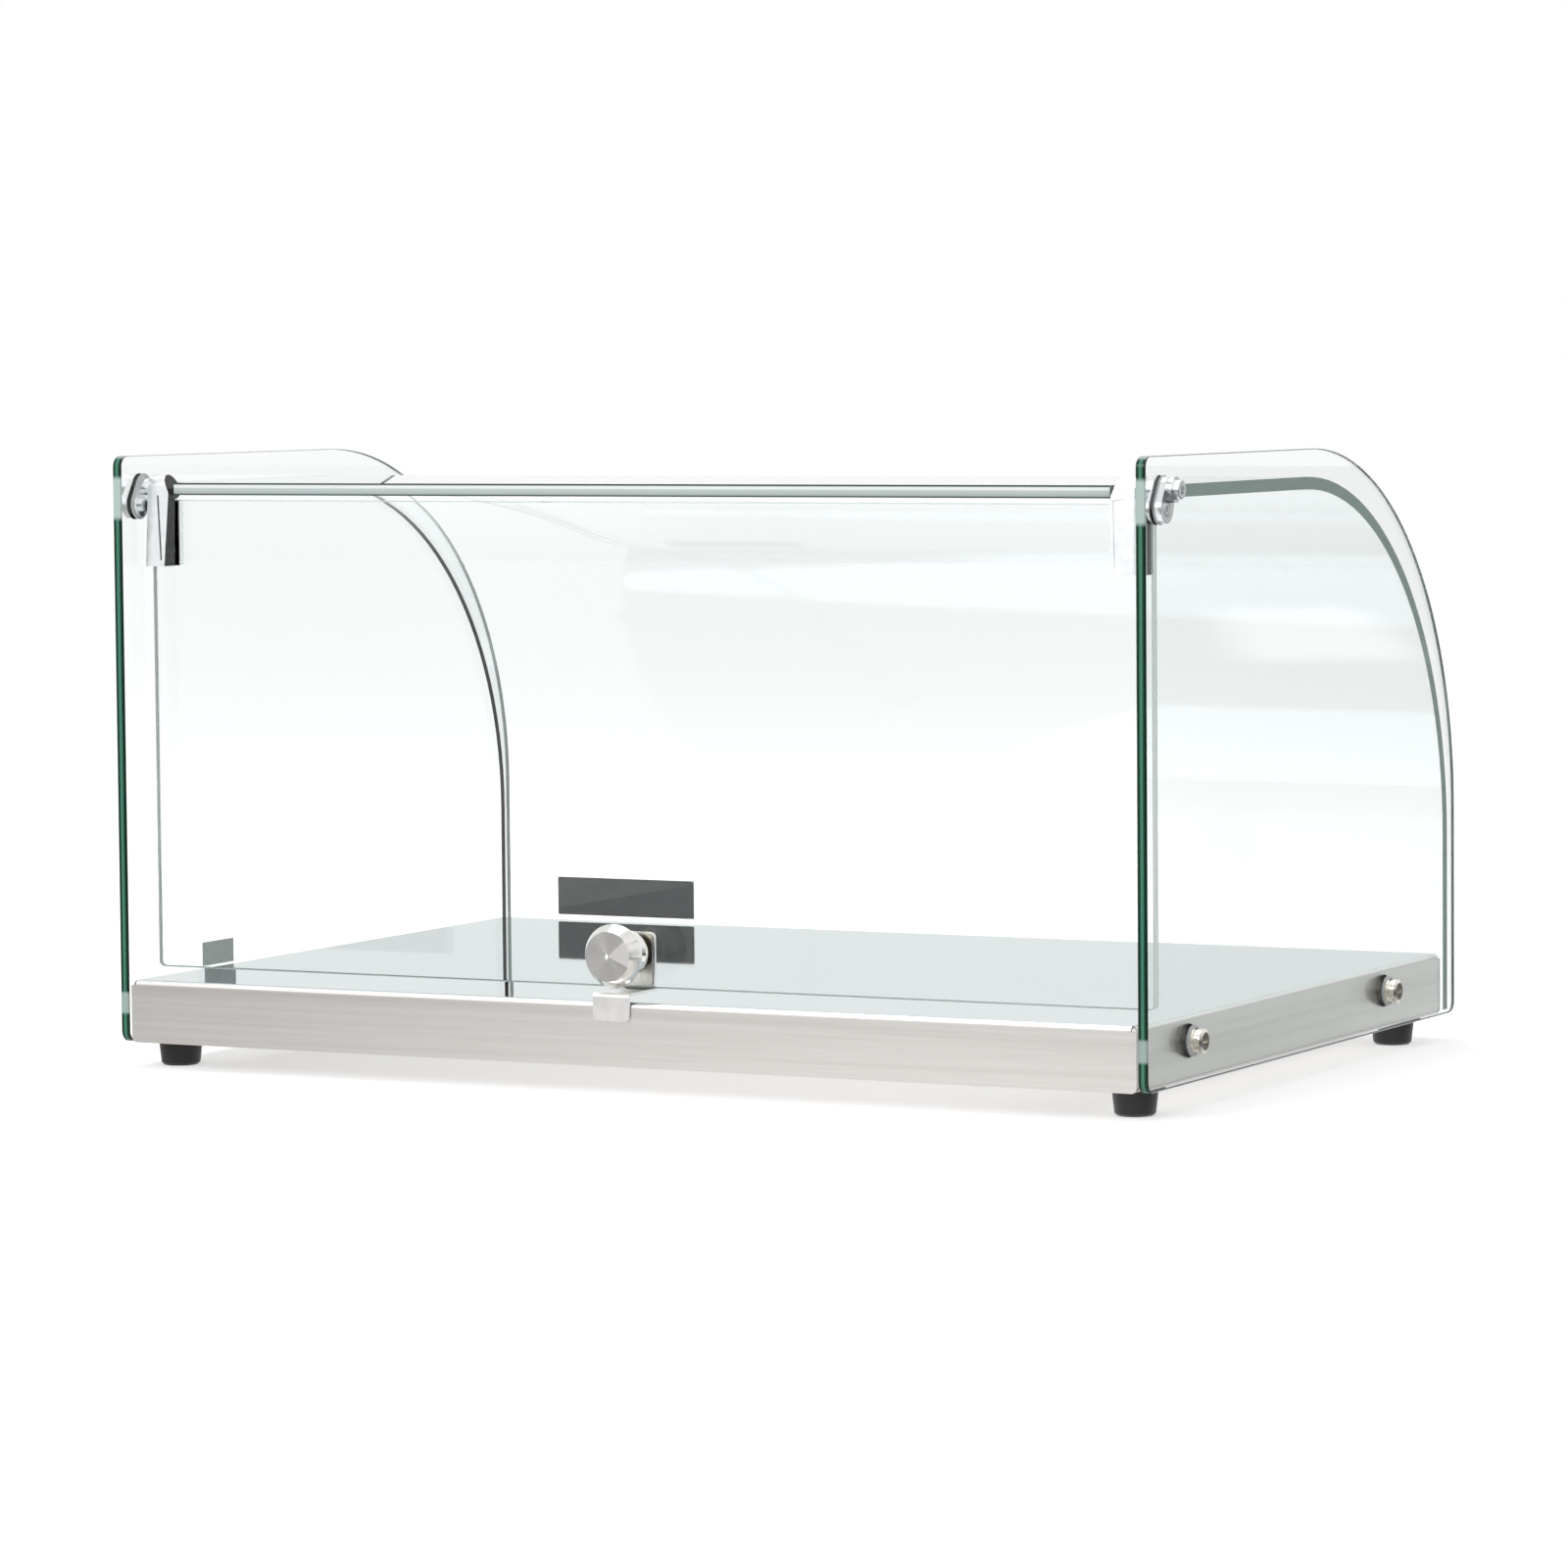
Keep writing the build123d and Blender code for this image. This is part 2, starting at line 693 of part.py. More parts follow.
def knob_screw():
    """Screw from inside the case, through clip, pad and glass into the knob."""
    seat = door_inner + clip_pad_thickness + clip_sheet
    length = seat - door_outer + knob_collar_length + knob_screw_length_in_knob
    screw = pan_screw(knob_screw_radius, length, knob_screw_head_radius, knob_screw_head_height)
    return placed(screw, (0, seat, knob_z), (0, 1, 0))


def all_nodes():
    """Every node by name."""
    nodes = {
        "base_tray": base_tray(),
        "right_side_glass": side_glass(),
        "curved_glass": curved_glass(),
        "front_tape": front_tape(),
        "door_glass": door_glass(),
        "door_clip": door_clip(),
        "clip_pad": clip_pad(),
        "knob": knob(),
        "knob_collar": knob_collar(),
        "knob_screw": knob_screw(),
    }
    nodes["left_side_glass"] = mirrored(nodes["right_side_glass"])
    for name, piece in {**hinge_fixed_side(), **door_clamp_pieces()}.items():
        nodes["right_" + name] = piece
        nodes["left_" + name] = mirrored(piece)
    for row, y in zip(("rear", "front"), foot_rows):
        nodes["right_" + row + "_foot"] = Pos(foot_column, y) * foot()
        nodes["left_" + row + "_foot"] = Pos(-foot_column, y) * foot()
    nodes.update(side_fixings())
    nodes.update(foot_fixings())
    return nodes


os.makedirs("parts", exist_ok=True)
for node_name, node in all_nodes().items():
    export_step(node, "parts/" + node_name + ".step")
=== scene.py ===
import bmesh
import bpy
import math
from mathutils import Matrix, Vector


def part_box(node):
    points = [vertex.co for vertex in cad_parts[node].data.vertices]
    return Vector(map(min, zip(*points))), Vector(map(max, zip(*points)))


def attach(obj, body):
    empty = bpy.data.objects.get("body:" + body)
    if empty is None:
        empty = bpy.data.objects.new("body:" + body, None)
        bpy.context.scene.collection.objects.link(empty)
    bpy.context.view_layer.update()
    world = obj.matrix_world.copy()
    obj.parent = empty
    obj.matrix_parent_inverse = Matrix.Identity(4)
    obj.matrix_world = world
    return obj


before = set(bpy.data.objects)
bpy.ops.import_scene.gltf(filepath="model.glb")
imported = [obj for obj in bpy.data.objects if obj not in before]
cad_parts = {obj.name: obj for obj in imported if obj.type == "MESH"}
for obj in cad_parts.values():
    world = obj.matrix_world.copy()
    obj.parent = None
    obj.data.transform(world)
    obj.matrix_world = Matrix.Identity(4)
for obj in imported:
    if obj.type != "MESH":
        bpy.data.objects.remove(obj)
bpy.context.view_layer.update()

# The camera stands on the operator's side, 27 degrees to the right and 4 degrees above the case.
# It looks through a long lens and leans by half a degree, as the photograph does.
camera_place = Vector((1.4153, -2.7452, 0.3524))
camera_azimuth = math.radians(27.36)
camera_elevation = math.radians(4.02)
camera_roll = math.radians(-0.4955)
camera_data = bpy.data.cameras.new("camera")
camera_data.lens = 141.86
camera_data.sensor_width = 36.0
camera = bpy.data.objects.new("camera", camera_data)
bpy.context.scene.collection.objects.link(camera)
level = Vector((math.sin(camera_azimuth), -math.cos(camera_azimuth), 0))
back = level * math.cos(camera_elevation) + Vector((0, 0, math.sin(camera_elevation)))
right = Vector((0, 0, 1)).cross(back).normalized()
turn = Matrix((right, back.cross(right), back)).transposed() @ Matrix.Rotation(camera_roll, 3, "Z")
camera.matrix_world = Matrix.Translation(camera_place) @ turn.to_4x4()
bpy.context.scene.camera = camera


# The studio is a pale floor under an even white sky, with two large soft lamps. Both look white to the
# camera and through glass. In mirrors the floor glows as a painted reflection, dim far off and darker to
# the right.
class Wire:
    """One output of a node. Arithmetic on it adds Math nodes to the same tree."""

    def __init__(self, tree, socket=None):
        self.tree = tree
        self.socket = socket

    def node(self, kind, settings={}, inputs={}, output=0):
        """A new node: its settings are set first, then the values or wires of its sockets."""
        made = self.tree.nodes.new("ShaderNode" + kind)
        for name, value in settings.items():
            if name == "stops":
                ramp = made.color_ramp.elements
                ramp[0].position = value[0][0]
                ramp[1].position = value[-1][0]
                for place, _ in value[1:-1]:
                    ramp.new(place)
                for stop, (place, shade) in zip(ramp, value):
                    stop.color = shade
            else:
                setattr(made, name, value)
        for name, value in inputs.items():
            if isinstance(value, Wire):
                self.tree.links.new(value.socket, made.inputs[name])
            else:
                made.inputs[name].default_value = value
        return Wire(self.tree, made.outputs[output])

    def math(self, operation, first, second=0.0):
        return self.node("Math", {"operation": operation}, {0: first, 1: second})

    def __add__(self, other):
        return self.math("ADD", self, other)

    def __sub__(self, other):
        return self.math("SUBTRACT", self, other)

    def __rsub__(self, other):
        return self.math("SUBTRACT", other, self)

    def __mul__(self, other):
        return self.math("MULTIPLY", self, other)

    def __truediv__(self, other):
        return self.math("DIVIDE", self, other)

    def __gt__(self, other):
        return self.math("GREATER_THAN", self, other)

    def __lt__(self, other):
        return self.math("LESS_THAN", self, other)

    def __or__(self, other):
        return self.math("MAXIMUM", self, other)

    def __abs__(self):
        return self.math("ABSOLUTE", self)

    __radd__ = __add__
    __rmul__ = __mul__

    def root(self):
        return self.math("SQRT", self)

    def step(self, low, high):
        """Nought below low, one above high, and smooth between."""
        limits = {"Value": self, "From Min": low, "From Max": high}
        return self.node("MapRange", {"interpolation_type": "SMOOTHSTEP"}, limits)

    def blend(self, first, second):
        """First colour where this wire is nought, second where it is one."""
        return self.node("Mix", {"data_type": "RGBA"}, {0: self, 6: first, 7: second}, output=2)

    def ramp(self, *stops):
        """A colour by the value of this wire, from (value, colour) pairs."""
        return self.node("ValToRGB", {"stops": stops}, {"Fac": self})

    def parts(self):
        """The x, y and z of a vector."""
        made = self.node("SeparateXYZ", {}, {"Vector": self}).socket.node
        return [Wire(self.tree, out) for out in made.outputs]

    def place(self):
        return self.node("TexCoord", output="Object")

    def facing(self):
        return self.node("TexCoord", output="Normal").parts()

    def noise(self, place, size, detail=2.0):
        """Cloudy noise whose spots are about size metres across."""
        return self.node("TexNoise", {}, {"Vector": place, "Scale": 1 / size, "Detail": detail})

    def bump(self, height, strength, distance):
        return self.node("Bump", {}, {"Height": height, "Strength": strength, "Distance": distance})


def tint(red, green, blue):
    return (red, green, blue, 1.0)


def grey(shade):
    return (shade, shade, shade, 1.0)


def start(owner):
    """A wire into the cleared node tree of a material or world, and its output node."""
    owner.use_nodes = True
    owner.node_tree.nodes.clear()
    kind = "World" if isinstance(owner, bpy.types.World) else "Material"
    return Wire(owner.node_tree), owner.node_tree.nodes.new("ShaderNodeOutput" + kind)


def seen_rays(wire):
    """One for rays from the camera and through glass."""
    from_camera = wire.node("LightPath", output="Is Camera Ray")
    through_glass = wire.node("LightPath", output="Is Transmission Ray")
    return from_camera | through_glass


def glossy_rays(wire):
    """One for mirrored rays. Rays that pass through glass are glossy too, so they are taken off."""
    glossy = wire.node("LightPath", output="Is Glossy Ray")
    through_glass = wire.node("LightPath", output="Is Transmission Ray")
    return glossy - through_glass


sky = bpy.data.worlds.new("sky")
bpy.context.scene.world = sky
wire, output = start(sky)
sky_x, _, sky_z = wire.node("TexCoord", output="Generated").parts()
low_sky = 1 - sky_z.step(0.10, 0.45)
dark_side = sky_x.step(0.60, 0.92) * low_sky
mirrored_sky = dark_side.blend(grey(1.0), grey(0.45))
sky_light = glossy_rays(wire).blend(grey(0.66), mirrored_sky)
sky_colour = seen_rays(wire).blend(sky_light, grey(1.0))
background = wire.node("Background", {}, {"Color": sky_colour, "Strength": 1.0})
sky.node_tree.links.new(background.socket, output.inputs["Surface"])

floor_reach = 14.0
floor_mesh = bpy.data.meshes.new("floor")
floor_corners = [(x * floor_reach, y * floor_reach, 0) for x, y in ((-1, -1), (1, -1), (1, 1), (-1, 1))]
floor_mesh.from_pydata(floor_corners, [], [(0, 1, 2, 3)])
floor = bpy.data.objects.new("floor", floor_mesh)
bpy.context.scene.collection.objects.link(floor)
floor_paint = bpy.data.materials.new("floor_paint")
floor_mesh.materials.append(floor_paint)
wire, output = start(floor_paint)
floor_x, floor_y, _ = wire.place().parts()
reach = (floor_x * floor_x + floor_y * floor_y).root()

# In mirrors the floor glows as a painted reflection: pale close to the case and dim further off, apart
# from one lane behind the case that glows bright as a painted window.
glow_lane_slope = 0.4625
glow_lane_offset = 0.07
near = (1 - reach.step(0.45, 0.72)) * (1 - floor_x.step(0.24, 0.40))
near_tone = floor_x.step(-0.50, 0.15).blend(grey(0.60), grey(1.10))
far = floor_x.step(-0.6, 0.6).blend(grey(0.42), grey(0.12))
off_lane = abs(floor_x - floor_y * glow_lane_slope - glow_lane_offset)
glow_lane = (1 - off_lane.step(0.06, 0.16)) * (floor_y > 0)
# A painted glow in the lane, seen only in mirrors, stands in for a bright window.
painted_window_glow = reach.step(3.9, 4.3) * (1 - reach.step(5.2, 5.7)) * glow_lane
# The floor as mirrors see it: painted reflection, pale near, dim far, bright in the lane.
painted_floor_reflection = near.blend(painted_window_glow.blend(far, grey(1.0)), near_tone)
mirror_light = wire.node("Emission", {}, {"Color": painted_floor_reflection, "Strength": 1.0})
matt = wire.node("BsdfDiffuse", {}, {"Color": grey(0.80)})
backdrop = wire.node("Emission", {}, {"Color": grey(1.0), "Strength": 0.50})
bright = wire.node("AddShader", {}, {0: matt, 1: backdrop})
seen_floor = wire.node("MixShader", {}, {0: seen_rays(wire), 1: matt, 2: bright})
whole_floor = wire.node("MixShader", {}, {0: glossy_rays(wire), 1: seen_floor, 2: mirror_light})
floor_paint.node_tree.links.new(whole_floor.socket, output.inputs["Surface"])


def soft_lamp(name, place, target, size, power):
    """A square lamp at a place, aimed at a target."""
    data = bpy.data.lights.new(name, "AREA")
    data.shape = "SQUARE"
    data.size = size
    data.energy = power
    lamp = bpy.data.objects.new(name, data)
    lamp.location = place
    lamp.rotation_mode = "QUATERNION"
    lamp.rotation_quaternion = (Vector(target) - Vector(place)).to_track_quat("-Z", "Y")
    bpy.context.scene.collection.objects.link(lamp)


soft_lamp("overhead_lamp", place=(-0.4, 0.3, 2.2), target=(0, 0, 0.1), size=1.6, power=20)
soft_lamp("operator_lamp", place=(-0.7, -2.4, 1.5), target=(0, 0, 0.15), size=1.2, power=16)
bpy.context.scene.view_settings.view_transform = "Standard"
bpy.context.scene.cycles.max_bounces = 24
bpy.context.scene.cycles.transmission_bounces = 24
bpy.context.scene.cycles.glossy_bounces = 8


# The two side glasses, the bent front and the door are clear float glass, toughened, with a green body.
# Light runs far inside a sheet, so its polished edges look dark green with a paler line along the middle.
# Here that look is painted onto the edges as colour: painted shade with a painted pale line.
# The index is a little under that of real glass, so that the panes mirror less of the white studio.
mm = 0.001
glass_index = 1.42
glass_body = tint(0.25, 0.55, 0.48)
glass_body_density = 10.0
edge_painted_shade = tint(0.001, 0.028, 0.012)
edge_painted_stripe = tint(0.075, 0.26, 0.18)
edge_painted_light = tint(0.52, 0.64, 0.60)
edge_ground = tint(0.32, 0.37, 0.35)


def dress(material, *names):
    """Give a material to every slot of some CAD nodes."""
    for name in names:
        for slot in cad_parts[name].material_slots:
            slot.material = material


def sheet_glass(name, edge_mask, edge_tone_and_painted_light):
    """Clear glass. The mask picks the edges, which get an opaque colour: frosted tone, and painted light
    and shade.
    """
    material = bpy.data.materials.new(name)
    wire, output = start(material)
    clear = wire.node("BsdfPrincipled", {}, {
        "Base Color": grey(1.0),
        "Roughness": 0.0,
        "IOR": glass_index,
        "Transmission Weight": 1.0,
    })
    x, y, z = wire.place().parts()
    ground = wire.node("BsdfPrincipled", {}, {
        "Base Color": edge_tone_and_painted_light(x, y, z, wire),
        "Roughness": 0.12,
        "IOR": 1.35,
    })
    surface = wire.node("MixShader", {}, {0: edge_mask(x, y, z, wire), 1: clear, 2: ground})
    body = wire.node("VolumeAbsorption", {}, {"Color": glass_body, "Density": glass_body_density})
    material.node_tree.links.new(surface.socket, output.inputs["Surface"])
    material.node_tree.links.new(body.socket, output.inputs["Volume"])
    return material


side_low, side_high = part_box("right_side_glass")
side_middle = (side_low[0] + side_high[0]) / 2
slot_low, slot_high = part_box("right_hinge_sleeve")
screw_low, screw_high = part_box("side_bushes")


def side_edge_mask(x, y, z, wire):
    return 1 - abs(wire.facing()[0]).step(0.55, 0.98)


def band(z, low, high, soft):
    """One between two heights, with soft ends."""
    return z.step(low - soft, low) * (1 - z.step(high, high + soft))


def side_edge_frost_and_painted_light(x, y, z, wire):
    """Painted dark green shade with a painted pale stripe. The slot and the screw hole show as bands of
    painted light in the rear edge.
    """
    off_middle = abs(abs(x) - side_middle)
    streak_place = wire.node("Mapping", {}, {"Vector": wire.place(), "Scale": (40, 2, 2)})
    streak = wire.noise(streak_place, 0.1, 1.0)
    # A painted pale stripe along the middle of the edge, over painted dark green shade.
    stripe = 1 - off_middle.step(0.1 * mm, streak * 0.4 * mm + 1.25 * mm)
    green = stripe.blend(edge_painted_shade, edge_painted_stripe)
    rear = y < side_low[1] + 3 * mm
    hinge_light_band = band(z, slot_low[2] - 1 * mm, slot_high[2] - 1 * mm, 3 * mm)
    screw_light_band = band(z, screw_low[2] + 3 * mm, screw_high[2] - 3 * mm, 2 * mm)
    # Painted light where the slot and the screw hole show through the rear edge.
    green = (rear * screw_light_band * 0.75).blend(green, edge_painted_light)
    green = (rear * hinge_light_band).blend(green, edge_painted_light)
    top = z.step(side_high[2] - 2 * mm, side_high[2] - 0.3 * mm) * (y > side_low[1] + 2 * mm)
    arc = (y > side_low[1] + 6 * mm) * (z < side_high[2] - 1 * mm)
    return (top | arc).blend(green, edge_ground)


side_sheet = sheet_glass("side_sheet", side_edge_mask, side_edge_frost_and_painted_light)
dress(side_sheet, "left_side_glass", "right_side_glass")

# The door is a flat sheet of the same glass, with polished edges that let the light out pale; that pale
# light is painted onto them. The two clamps grip its top corners, and it hangs between the sides.
door_low, door_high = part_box("door_glass")


def door_edge_mask(x, y, z, wire):
    return 1 - abs(wire.facing()[1]).step(0.55, 0.98)


def door_edge_painted_light(x, y, z, wire):
    """Painted light on the polished edge, which darkens with painted shade towards the inner arris."""
    depth = (y - door_low[1]) / (door_high[1] - door_low[1])
    return depth.ramp(
        (0.0, tint(0.30, 0.38, 0.35)),
        (0.2, tint(0.88, 0.93, 0.92)),
        (0.6, tint(0.86, 0.92, 0.90)),
        (0.85, tint(0.48, 0.57, 0.54)),
        (1.0, tint(0.52, 0.60, 0.57)),
    )


dress(sheet_glass("door_sheet", door_edge_mask, door_edge_painted_light), "door_glass")

# The top and the customer's front are one sheet, bent over a mould while hot. Its rear edge is rounded
# and polished, and its two ends are ground flat where they meet the sides.
bent_low, bent_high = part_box("curved_glass")
bent_thickness = 6 * mm


def bent_rear(x, y, z, wire):
    """One on the rear edge of the flat top."""
    looks_back = wire.facing()[1] < -0.7
    in_the_top = z > bent_high[2] - 1.2 * bent_thickness
    at_the_rear = y < bent_low[1] + 15 * mm
    return looks_back * in_the_top * at_the_rear


def bent_edge_mask(x, y, z, wire):
    return abs(wire.facing()[0]).step(0.5, 0.7) | bent_rear(x, y, z, wire)


def bent_edge_frost_and_painted_light(x, y, z, wire):
    """A painted highlight line, a grey belly and two arrises in painted shade at the rear, and frosted
    grey-green ends.
    """
    drop = (bent_high[2] - z) / bent_thickness
    # Painted light and shade across the rounded rear edge.
    rear = drop.ramp(
        (0.0, tint(0.04, 0.07, 0.06)),
        (0.10, tint(0.05, 0.09, 0.08)),
        (0.19, tint(0.92, 0.98, 0.96)),
        (0.34, tint(0.95, 1.0, 0.98)),
        (0.46, tint(0.60, 0.68, 0.66)),
        (0.62, tint(0.56, 0.63, 0.61)),
        (0.84, tint(0.46, 0.54, 0.52)),
        (0.92, tint(0.06, 0.08, 0.08)),
        (1.0, tint(0.07, 0.09, 0.09)),
    )
    frost = wire.noise(wire.place(), 1.2 * mm, 2.0).step(0.3, 0.8)
    ends = frost.blend(tint(0.62, 0.70, 0.67), tint(0.68, 0.76, 0.73))
    return bent_rear(x, y, z, wire).blend(ends, rear)


dress(sheet_glass("bent_sheet", bent_edge_mask, bent_edge_frost_and_painted_light), "curved_glass")

# Where a piece presses flat against a sheet, its face shows through the glass. Each such face is a thin
# film in that face's shape, sunk a little way into the sheet: the ground ends of the bent glass in the
# sides, and the polished plate of the door's clip in the door.
film_depth = 0.06 * mm
film_thickness = 0.03 * mm


def contact_film(name, node, outwards, tones, finish, body):
    """Copy a CAD node's foremost faces along a direction, thicken them and sink them into the glass."""
    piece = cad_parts[node]
    outwards = Vector(outwards)
    film_mesh = bmesh.new()
    film_mesh.from_mesh(piece.data)
    film_mesh.transform(piece.matrix_world)
    bmesh.ops.remove_doubles(film_mesh, verts=film_mesh.verts, dist=0.001 * mm)
    film_mesh.normal_update()
    front_limit = max(outwards.dot(corner.co) for corner in film_mesh.verts) - 0.1 * mm
    others = []
    for face in film_mesh.faces:
        rearmost = min(outwards.dot(corner.co) for corner in face.verts)
        if face.normal.dot(outwards) < 0.99 or rearmost < front_limit:
            others.append(face)
    bmesh.ops.delete(film_mesh, geom=others, context="FACES")
    pulled = bmesh.ops.extrude_face_region(film_mesh, geom=film_mesh.faces[:], use_keep_orig=True)["geom"]
    front = [corner for corner in pulled if isinstance(corner, bmesh.types.BMVert)]
    bmesh.ops.translate(film_mesh, verts=film_mesh.verts[:], vec=outwards * (film_depth - film_thickness))
    bmesh.ops.translate(film_mesh, verts=front, vec=outwards * film_thickness)
    bmesh.ops.recalc_face_normals(film_mesh, faces=film_mesh.faces[:])
    mesh = bpy.data.meshes.new(name)
    film_mesh.to_mesh(mesh)
    film_mesh.free()
    film = bpy.data.objects.new(name, mesh)
    bpy.context.scene.collection.objects.link(film)
    material = bpy.data.materials.new(name)
    mesh.materials.append(material)
    wire, output = start(material)
    frost = wire.noise(wire.place(), 1.5 * mm, 2.0).step(0.3, 0.8)
    surface = wire.node("BsdfPrincipled", {}, {"Base Color": frost.blend(*tones), **finish})
    material.node_tree.links.new(surface.socket, output.inputs["Surface"])
    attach(film, body)


ground_tones = (tint(0.36, 0.44, 0.41), tint(0.42, 0.50, 0.47))
frosted = {"Roughness": 0.6}
contact_film("left_bent_end", "curved_glass", (-1, 0, 0), ground_tones, frosted, "case")
contact_film("right_bent_end", "curved_glass", (1, 0, 0), ground_tones, frosted, "case")
steel_tones = (tint(0.60, 0.58, 0.55), tint(0.68, 0.66, 0.63))
satin = {"Roughness": 0.24, "Metallic": 1.0}
contact_film("clip_plate_face", "clip_pad", (0, -1, 0), steel_tones, satin, "door")


# The base is one folded sheet of stainless steel. Its skirts are brushed along their length, and its
# deck is polished like a mirror, so the goods and the glass show in it. The folds catch the light, painted
# on as a pale highlight, and the end skirts are painted darker as shade.
def bare_metal(name, finish):
    """A metal whose finish function gives its colour, roughness and normal."""
    material = bpy.data.materials.new(name)
    wire, output = start(material)
    colour, roughness, normal = finish(wire)
    inputs = {"Base Color": colour, "Roughness": roughness, "Metallic": 1.0}
    if normal is not None:
        inputs["Normal"] = normal
    surface = wire.node("BsdfPrincipled", {}, inputs)
    material.node_tree.links.new(surface.socket, output.inputs["Surface"])
    return material


def number(mask, first, second):
    """First number where the mask is nought, second where it is one."""
    return mask * (second - first) + first


def brushed(wire):
    """Grain along each skirt, the end skirts in painted shade, a mirror deck and painted highlights on the
    folds between them.
    """
    place = wire.place()
    facing = wire.facing()
    deck = facing[2].step(0.80, 0.97)
    side = abs(facing[0]) > 0.6
    along_x = wire.node("Mapping", {}, {"Vector": place, "Scale": (0.012, 0.03, 1.5)})
    along_y = wire.node("Mapping", {}, {"Vector": place, "Scale": (0.03, 0.012, 1.5)})
    grain_place = wire.node("Mix", {"data_type": "VECTOR"}, {0: side, 4: along_x, 5: along_y}, output=1)
    grain = wire.noise(grain_place, 0.45 * mm, 3.0)
    cloud = wire.noise(grain_place, 5 * mm, 2.0)
    tone = (grain * 0.35 + cloud * 0.65).step(0.28, 0.72)
    skirt = tone.blend(tint(0.650, 0.625, 0.600), tint(0.745, 0.725, 0.700))
    # The end skirts, which face along x, are painted darker as shade.
    skirt = side.blend(skirt, tone.blend(tint(0.510, 0.500, 0.480), tint(0.590, 0.580, 0.560)))
    # A painted highlight along the folds between skirt and deck.
    painted_fold_glint = facing[2].step(0.25, 0.6) * (1 - facing[2].step(0.85, 0.97))
    skirt = painted_fold_glint.blend(skirt, tint(0.92, 0.91, 0.89))
    colour = deck.blend(skirt, tint(0.550, 0.615, 0.635))
    bump = wire.bump(grain * (1 - deck), 0.08, 0.0003)
    return colour, number(deck, 0.36, 0.03), bump


dress(bare_metal("brushed_stainless", brushed), "base_tray")


# The tape that carries the foot of the bent glass is black foam. The feet are moulded rubber, and so are
# the clamps' pads and the spacers between the sides and the base. The clip's pad is grey rubber.
def black_goods(name, shade, roughness, grain):
    """Black rubber or foam with a grain of the given size."""
    material = bpy.data.materials.new(name)
    wire, output = start(material)
    speck = wire.noise(wire.place(), grain, 3.0)
    dark = tint(shade, shade, 1.1 * shade)
    pale = tint(2 * shade, 2 * shade, 2.4 * shade)
    colour = speck.step(0.3, 0.8).blend(dark, pale)
    surface = wire.node("BsdfPrincipled", {}, {
        "Base Color": colour,
        "Roughness": roughness,
        "Normal": wire.bump(speck, 0.25, grain / 5),
    })
    material.node_tree.links.new(surface.socket, output.inputs["Surface"])
    return material


sides = ("left_", "right_")
feet = [side + row + "_foot" for side in sides for row in ("rear", "front")]
clamp_pads = [side + "clamp_pads" for side in sides]
dress(black_goods("moulded_rubber", 0.004, 0.42, 1.1 * mm), *feet, *clamp_pads, "side_spacers")
dress(black_goods("grey_rubber", 0.22, 0.25, 2.5 * mm), "clip_pad")
dress(black_goods("foam", 0.02, 0.85, 0.6 * mm), "front_tape")


# The hinges and door clamps are cast zinc under bright chrome, a little wavy under the plating.
# The cheek of each clamp that faces the middle of the case is coloured near black and not metal, a painted
# dark reflection on the chrome.
def cast_chrome(wire):
    swell = wire.noise(wire.place(), 5.5 * mm, 1.0)
    colour = swell.step(0.2, 0.8).blend(tint(0.83, 0.86, 0.88), tint(0.93, 0.94, 0.95))
    return colour, swell * 0.05 + 0.22, wire.bump(swell, 0.06, 0.0004)


chrome_pieces = ("hinge_outer_plate", "hinge_inner_plate", "clamp_jaw")
chrome_screws = ("pivot_screw", "mount_screw", "clamp_screws")
chrome = bare_metal("cast_chrome", cast_chrome)
dress(chrome, *[side + piece for side in sides for piece in chrome_pieces + chrome_screws])

clamp_chrome = bpy.data.materials.new("clamp_chrome")
wire, output = start(clamp_chrome)
colour, roughness, normal = cast_chrome(wire)
x, y, z = wire.place().parts()
# The inner cheek gets a painted dark reflection in place of chrome.
painted_dark_cheek = wire.facing()[0] * x.math("SIGN", x) < -0.85
surface = wire.node("BsdfPrincipled", {}, {
    "Base Color": painted_dark_cheek.blend(colour, grey(0.006)),
    "Roughness": roughness,
    "Metallic": 1 - painted_dark_cheek,
    "Normal": normal,
})
clamp_chrome.node_tree.links.new(surface.socket, output.inputs["Surface"])
dress(clamp_chrome, *[side + "door_clamp" for side in sides])


# Sleeves, gaskets and bushes are moulded from milky plastic. They line the slot and the holes of the side
# glasses and lie under the hinge plates, to keep metal off the glass.
milky_plastic = bpy.data.materials.new("milky_plastic")
wire, output = start(milky_plastic)
cloud = wire.noise(wire.place(), 3.0 * mm, 2.0)
shell = wire.node("BsdfPrincipled", {}, {
    "Base Color": cloud.blend(tint(0.88, 0.92, 0.92), tint(0.97, 0.99, 0.99)),
    "Roughness": cloud * 0.1 + 0.15,
    "IOR": 1.46,
    "Transmission Weight": 0.35,
})
milky_plastic.node_tree.links.new(shell.socket, output.inputs["Surface"])
plastic_pieces = [side + piece for side in sides for piece in ("hinge_sleeve", "hinge_gaskets")]
dress(milky_plastic, *plastic_pieces, "side_bushes")


# The screws, washers and nuts of the sides and feet, and the knob's screw, are nickel-plated steel: a
# warm bright metal with a little wear.
def nickel(wire):
    wear = wire.noise(wire.place(), 2.0 * mm, 4.0)
    colour = wear.step(0.3, 0.8).blend(tint(0.70, 0.66, 0.59), tint(0.88, 0.86, 0.80))
    return colour, wear * 0.10 + 0.12, None


side_fixings = ("side_screws", "side_flat_washers", "side_spring_washers", "side_nuts")
foot_fixings = ("foot_screws", "foot_washers", "foot_nuts")
dress(bare_metal("nickel_plate", nickel), *side_fixings, *foot_fixings, "knob_screw")


